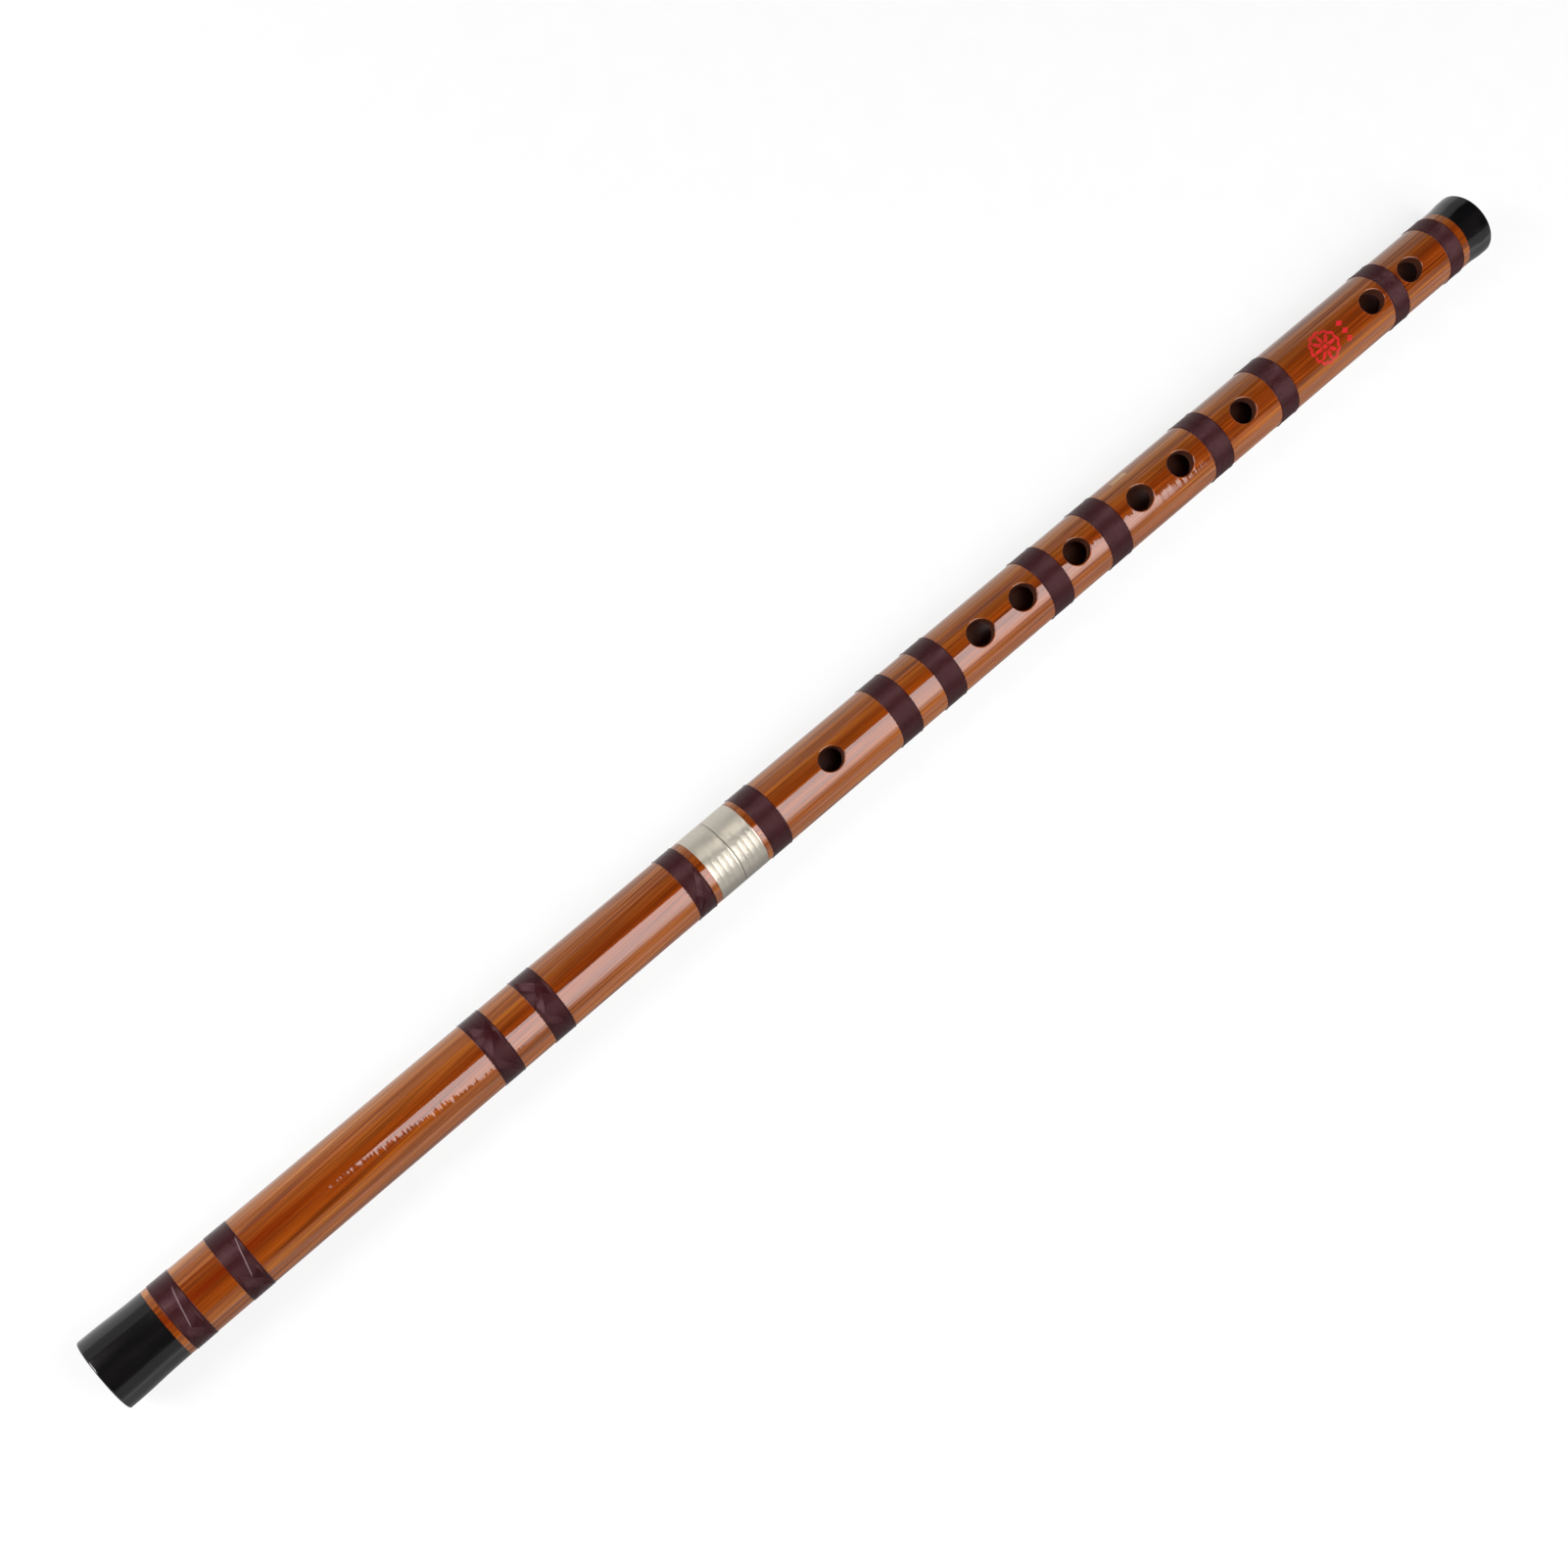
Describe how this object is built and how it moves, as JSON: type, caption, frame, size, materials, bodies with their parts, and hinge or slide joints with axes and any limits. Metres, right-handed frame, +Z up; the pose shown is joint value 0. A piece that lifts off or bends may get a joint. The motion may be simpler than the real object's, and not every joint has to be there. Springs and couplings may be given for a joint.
{
  "type": "bamboo flute",
  "caption": "Transverse bamboo flute in two sections with a sliding metal joint, thread bindings, end caps, a blow hole, a membrane hole and finger holes.",
  "frame": {"origin": "centre of the box's bottom face, on the surface that the flute lies on", "axes": "+X along the flute from the head end to the foot end, +Z up, with the finger holes facing up"},
  "size_m": [0.5562, 0.0224, 0.0224],
  "materials": {
    "bamboo": "lacquered, glossy, orange-brown with fine darker fibre lines",
    "horn": "polished black horn",
    "nickel_silver": "satin, finely turned",
    "brass": "drawn tube, dull",
    "cork": "cork",
    "thread": "wound thread under thin lacquer, dark plum-brown"
  },
  "bodies": {
    "body_section": {"body_tube": "bamboo", "foot_cap": "horn", "body_ferrule": "nickel_silver", "body_binding_1": "thread", "body_binding_2": "thread", "body_binding_3": "thread", "body_binding_4": "thread", "body_binding_5": "thread", "body_binding_6": "thread", "body_binding_7": "thread", "body_binding_8": "thread", "body_binding_9": "thread"},
    "liner": {"socket_liner": "brass"},
    "head_section": {"head_tube": "bamboo", "head_cap": "horn", "head_ferrule": "nickel_silver", "tenon_tube": "brass", "head_binding_1": "thread", "head_binding_2": "thread", "head_binding_3": "thread", "head_binding_4": "thread", "head_binding_5": "thread"},
    "stopper": {"cork_stopper": "cork"}
  },
  "joints": [
    {"name": "head_turn", "type": "hinge", "parent": "body_section", "child": "liner", "pos_m": [-0.05825, 0, 0.0112], "axis": [1, 0, 0], "continuous": true},
    {"name": "head_pull", "type": "slide", "parent": "liner", "child": "head_section", "axis": [-1, 0, 0], "range_m": [0, 0.03]},
    {"name": "stopper_slide", "type": "slide", "parent": "head_section", "child": "stopper", "axis": [1, 0, 0], "range_m": [-0.005, 0.003]}
  ]
}
